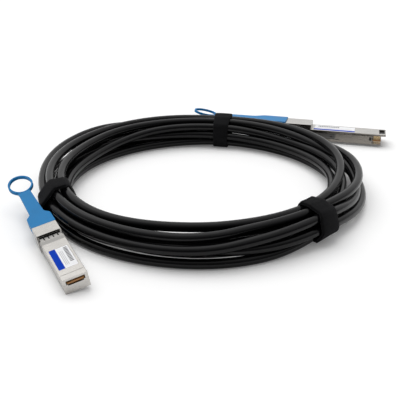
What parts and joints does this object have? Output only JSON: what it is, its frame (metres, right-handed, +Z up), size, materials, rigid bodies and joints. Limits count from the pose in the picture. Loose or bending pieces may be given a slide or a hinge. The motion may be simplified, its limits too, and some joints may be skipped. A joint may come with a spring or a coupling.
{
  "type": "direct attach copper cable",
  "caption": "Coiled twinax cable with a small pluggable connector on one end and a wide one on the other, each with a blue pull-tab release.",
  "frame": {"origin": "centre of the coil, on the surface that the cable lies on", "axes": "+Z up through the coil, +Y away from the side that the small plug lies on, +X towards the nose of the wide plug"},
  "size_m": [0.2653, 0.2631, 0.0224],
  "materials": {
    "plating": "satin nickel plating on a zinc die casting",
    "spring_metal": "bright spring sheet and wire",
    "latch_metal": "stamped sheet",
    "screw_metal": "plain steel",
    "crimp_metal": "plain",
    "label": "printed film, blank fields",
    "circuit_board": "solder mask",
    "gold": "gold flash",
    "chip": "moulded",
    "wire_jacket": "foil wrapped",
    "boot_rubber": "matte",
    "tab_plastic": "smooth moulding",
    "cable_jacket": "satin extruded jacket",
    "tie_fabric": "hook-and-loop strap"
  },
  "bodies": {
    "cable_assembly": {"sfp_top_shell": "plating", "sfp_bottom_shell": "plating", "sfp_emi_collar": "spring_metal", "sfp_label": "label", "sfp_paddle_card": "circuit_board", "sfp_contact_pads": "gold", "sfp_memory_chip": "chip", "sfp_conductors": "wire_jacket", "sfp_crimp_ring": "crimp_metal", "sfp_cable_boot": "boot_rubber", "sfp_shell_screws": "screw_metal", "sfp_latch_pin": "latch_metal", "sfp_latch_spring": "spring_metal", "qsfp_top_shell": "plating", "qsfp_bottom_shell": "plating", "qsfp_label": "label", "qsfp_paddle_card": "circuit_board", "qsfp_contact_pads": "gold", "qsfp_memory_chip": "chip", "qsfp_conductors": "wire_jacket", "qsfp_crimp_ring": "crimp_metal", "qsfp_cable_boot": "boot_rubber", "qsfp_shell_screws": "screw_metal", "qsfp_return_springs": "spring_metal", "cable_coil": "cable_jacket", "sfp_cable_tail": "cable_jacket", "qsfp_cable_tail": "cable_jacket", "tie_back": "tie_fabric", "tie_left": "tie_fabric", "tie_right": "tie_fabric"},
    "sfp_release": {"sfp_pull_tab": "tab_plastic", "sfp_release_slider": "latch_metal"},
    "sfp_latch": {"sfp_latch_lever": "latch_metal"},
    "qsfp_release": {"qsfp_pull_tab": "tab_plastic", "qsfp_latch_slider": "latch_metal"}
  },
  "joints": [
    {"name": "sfp_tab_slide", "type": "slide", "parent": "cable_assembly", "child": "sfp_release", "axis": [-0.4396, 0.8974, 0.0384], "range_m": [0, 0.0025], "stiffness_N_per_m": 800, "springref_m": -0.002},
    {"name": "sfp_latch_pivot", "type": "hinge", "parent": "cable_assembly", "child": "sfp_latch", "pos_m": [-0.0787, -0.09045, 0.0039], "axis": [-0.8861, -0.4263, -0.1821], "range_deg": [0, 7.01], "deforming": ["sfp_latch_spring"]},
    {"name": "qsfp_tab_slide", "type": "slide", "parent": "cable_assembly", "child": "qsfp_release", "axis": [-0.9703, 0.2419, 0], "range_m": [0, 0.003], "stiffness_N_per_m": 900, "springref_m": -0.002, "deforming": ["qsfp_return_springs"]}
  ],
  "couplings": [
    {"joint": "sfp_latch_pivot", "follows": "sfp_tab_slide", "rad_per_m": 48.869}
  ]
}
